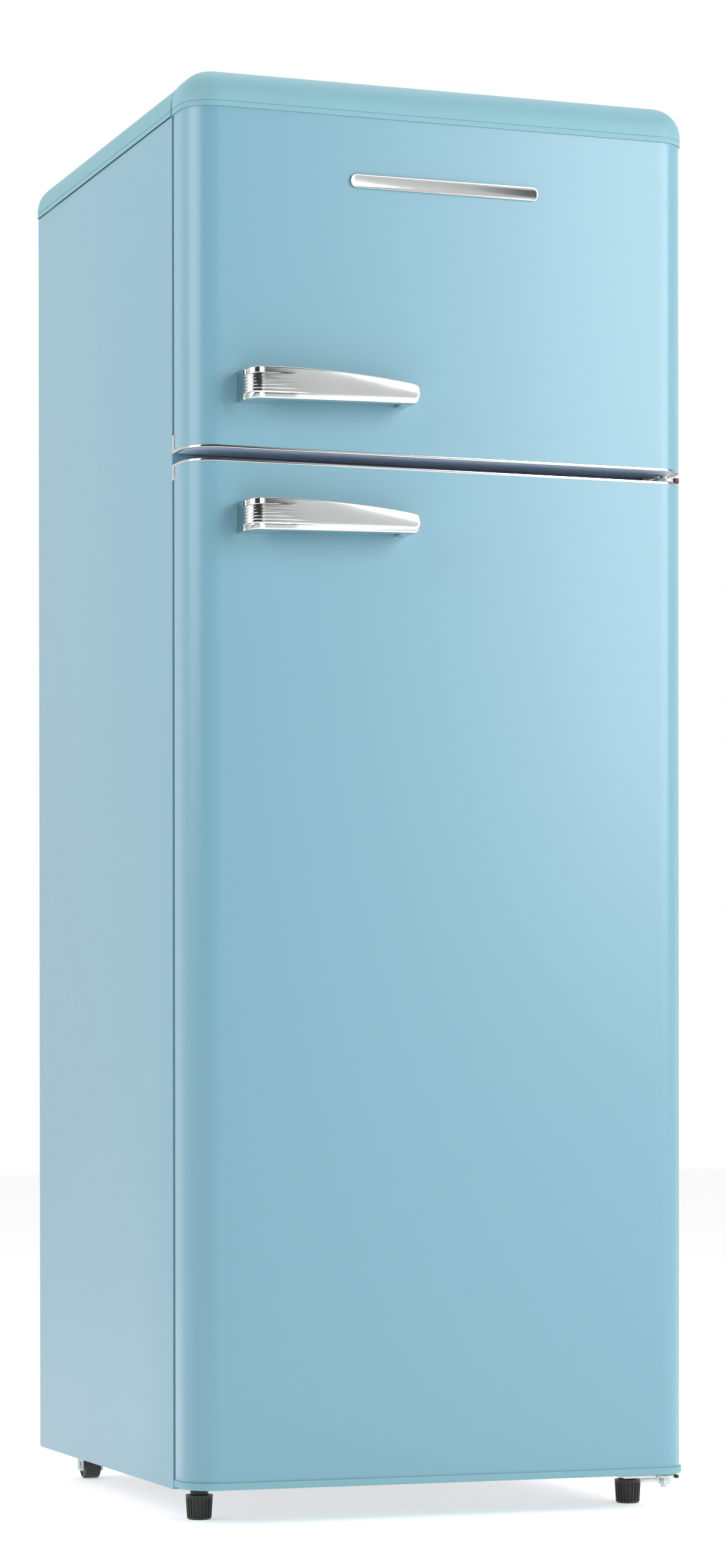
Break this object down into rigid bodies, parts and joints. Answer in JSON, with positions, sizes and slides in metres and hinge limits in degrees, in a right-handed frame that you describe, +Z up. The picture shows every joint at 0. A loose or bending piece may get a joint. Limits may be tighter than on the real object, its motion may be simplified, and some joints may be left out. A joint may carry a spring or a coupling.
{
  "type": "top freezer refrigerator",
  "caption": "Tall retro two-door refrigerator with the freezer on top, pale blue rounded doors, bright horizontal grip handles and short levelling feet.",
  "frame": {"origin": "bottom centre of the whole object's box, on the floor under the feet", "axes": "+X to the right seen from the front, +Y to the back, +Z up; the doors face -Y"},
  "size_m": [0.548, 0.6166, 1.466],
  "materials": {
    "side_paint": "satin baked enamel",
    "door_paint": "satin baked enamel",
    "cap_plastic": "moulded, semi-gloss",
    "rail_paint": "satin paint in the door gap",
    "chrome": "bright plated",
    "zinc_steel": "zinc-plated steel",
    "galvanised": "galvanised sheet",
    "screw_steel": "plated steel",
    "liner_plastic": "thermoformed, semi-gloss",
    "clear_plastic": "clear moulded plastic",
    "tray_plastic": "moulded",
    "shelf_glass": "toughened glass",
    "aluminium": "rolled sheet",
    "foam": "rigid polyurethane foam",
    "black_plastic": "moulded",
    "roller_plastic": "moulded nylon",
    "black_steel": "black stove enamel",
    "black_rubber": "moulded rubber",
    "seal_rubber": "magnetic door seal",
    "copper": "copper tube"
  },
  "bodies": {
    "cabinet": {"left_side_panel": "side_paint", "right_side_panel": "side_paint", "rear_panel": "galvanised", "top_cover": "cap_plastic", "top_plate": "galvanised", "base_pan": "galvanised", "centre_rail": "rail_paint", "fridge_liner": "liner_plastic", "freezer_liner": "liner_plastic", "evaporators": "aluminium", "foam_core": "foam", "glass_shelves": "shelf_glass", "shelf_trims": "liner_plastic", "freezer_shelf": "zinc_steel", "thermostat_housing": "liner_plastic", "lamp_cover": "clear_plastic", "light_switch_housing": "liner_plastic", "top_hinge": "zinc_steel", "centre_hinge": "zinc_steel", "bottom_hinge": "zinc_steel", "hinge_end_caps": "black_plastic", "hinge_fasteners": "screw_steel", "foot_collars": "black_plastic", "compressor_shelf": "galvanised", "compressor": "black_steel", "compressor_mounts": "black_rubber", "terminal_box": "black_plastic", "evaporation_tray": "tray_plastic", "drain_tube": "tray_plastic", "condenser": "black_steel", "refrigerant_lines": "copper", "cord_gland": "black_rubber"},
    "freezer_door": {"freezer_door_skin": "door_paint", "freezer_door_cap": "cap_plastic", "freezer_door_end_plates": "liner_plastic", "freezer_door_trim": "chrome", "freezer_door_foam": "foam", "freezer_door_liner": "liner_plastic", "freezer_door_gasket": "seal_rubber", "freezer_door_rack": "clear_plastic", "freezer_handle": "chrome", "freezer_door_fittings": "screw_steel", "nameplate": "chrome"},
    "fridge_door": {"fridge_door_skin": "door_paint", "fridge_door_base_cap": "cap_plastic", "fridge_door_end_plates": "liner_plastic", "fridge_door_trim": "chrome", "fridge_door_foam": "foam", "fridge_door_liner": "liner_plastic", "fridge_door_gasket": "seal_rubber", "fridge_door_bins": "clear_plastic", "fridge_handle": "chrome", "fridge_door_fittings": "screw_steel"},
    "crisper": {"crisper_drawer": "clear_plastic"},
    "thermostat_dial": {"thermostat_knob": "liner_plastic"},
    "light_switch": {"light_switch_plunger": "liner_plastic"},
    "left_leveller": {"left_foot": "black_plastic"},
    "right_leveller": {"right_foot": "black_plastic"},
    "left_rear_roller": {"left_roller": "roller_plastic"},
    "right_rear_roller": {"right_roller": "roller_plastic"}
  },
  "joints": [
    {"name": "freezer_door_hinge", "type": "hinge", "parent": "cabinet", "child": "freezer_door", "pos_m": [0.258, -0.24075, 1.25], "axis": [0, 0, 1], "range_deg": [0, 120]},
    {"name": "fridge_door_hinge", "type": "hinge", "parent": "cabinet", "child": "fridge_door", "pos_m": [0.258, -0.24075, 0.55], "axis": [0, 0, 1], "range_deg": [0, 120]},
    {"name": "crisper_slide", "type": "slide", "parent": "cabinet", "child": "crisper", "axis": [0, -1, 0], "range_m": [0, 0.17]},
    {"name": "thermostat_turn", "type": "hinge", "parent": "cabinet", "child": "thermostat_dial", "pos_m": [0.182, -0.05075, 0.995], "axis": [-1, 0, 0], "range_deg": [0, 300]},
    {"name": "light_switch_press", "type": "slide", "parent": "cabinet", "child": "light_switch", "axis": [0, 1, 0], "range_m": [0, 0.004], "stiffness_N_per_m": 200, "springref_m": -0.003},
    {"name": "left_foot_height", "type": "slide", "parent": "cabinet", "child": "left_leveller", "axis": [0, 0, 1], "range_m": [-0.015, 0]},
    {"name": "right_foot_height", "type": "slide", "parent": "cabinet", "child": "right_leveller", "axis": [0, 0, 1], "range_m": [-0.015, 0]},
    {"name": "left_roller_turn", "type": "hinge", "parent": "cabinet", "child": "left_rear_roller", "pos_m": [-0.225, 0.26725, 0.015], "axis": [1, 0, 0], "continuous": true},
    {"name": "right_roller_turn", "type": "hinge", "parent": "cabinet", "child": "right_rear_roller", "pos_m": [0.225, 0.26725, 0.015], "axis": [1, 0, 0], "continuous": true}
  ],
  "couplings": [
    {"joint": "crisper_slide", "follows": "fridge_door_hinge", "m_per_rad": 0.081}
  ]
}
